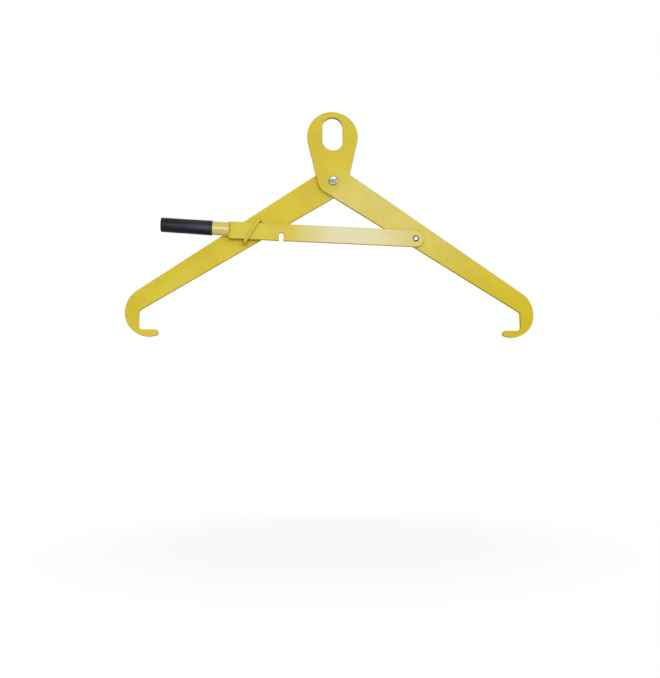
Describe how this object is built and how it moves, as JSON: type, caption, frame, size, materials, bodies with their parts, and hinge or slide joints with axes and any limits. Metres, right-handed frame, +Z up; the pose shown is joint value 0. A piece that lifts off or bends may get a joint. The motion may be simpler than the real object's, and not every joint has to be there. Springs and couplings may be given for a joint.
{
  "type": "drum lifter",
  "caption": "Scissor drum lifter: flat hooked arms on a pivot bolt, a slotted lifting eye above, and a latch bar with a tube handle sliding through a keeper.",
  "frame": {"origin": "centre of the round top of the lifting eye's slot, in the mid plane of the front plate", "axes": "+X to the right across the arms, seen from the front; +Y from the front to the rear, along the pivot bolt; +Z up, towards the hoist"},
  "size_m": [1.007, 0.0691, 0.573],
  "materials": {
    "yellow_paint": "yellow gloss enamel on cut steel plate, a little worn at the edges",
    "zinc": "bright zinc plate with a cold tint",
    "grip_black": "satin black slip-on grip",
    "black_steel": "blackened spring steel, satin",
    "nylon": "nylon ring"
  },
  "bodies": {
    "right_arm": {"right_arm": "yellow_paint", "pivot_bolt": "zinc", "pivot_spacer": "zinc", "pivot_washer": "zinc", "pivot_nut": "zinc", "pivot_nut_insert": "nylon", "latch_bolt": "zinc", "latch_ring": "black_steel", "latch_spacer": "zinc", "latch_washer": "zinc", "latch_nut": "zinc", "latch_nut_insert": "nylon"},
    "left_arm": {"left_arm": "yellow_paint", "keeper": "yellow_paint", "keeper_weld_upper": "yellow_paint", "keeper_weld_lower": "yellow_paint"},
    "latch": {"latch_bar": "yellow_paint", "handle_tube": "yellow_paint", "handle_weld_front": "yellow_paint", "handle_weld_rear": "yellow_paint", "handle_grip": "grip_black"}
  },
  "joints": [
    {"name": "arm_pivot", "type": "hinge", "parent": "right_arm", "child": "left_arm", "pos_m": [0, 0.013, -0.141], "axis": [0, -1, 0], "range_deg": [-8, 88]},
    {"name": "latch_pivot", "type": "hinge", "parent": "right_arm", "child": "latch", "pos_m": [0.20526, -0.012, -0.28733], "axis": [0, -1, 0], "range_deg": [-4, 43]}
  ],
  "couplings": [
    {"joint": "latch_pivot", "follows": "arm_pivot", "ratio": 0.473}
  ]
}
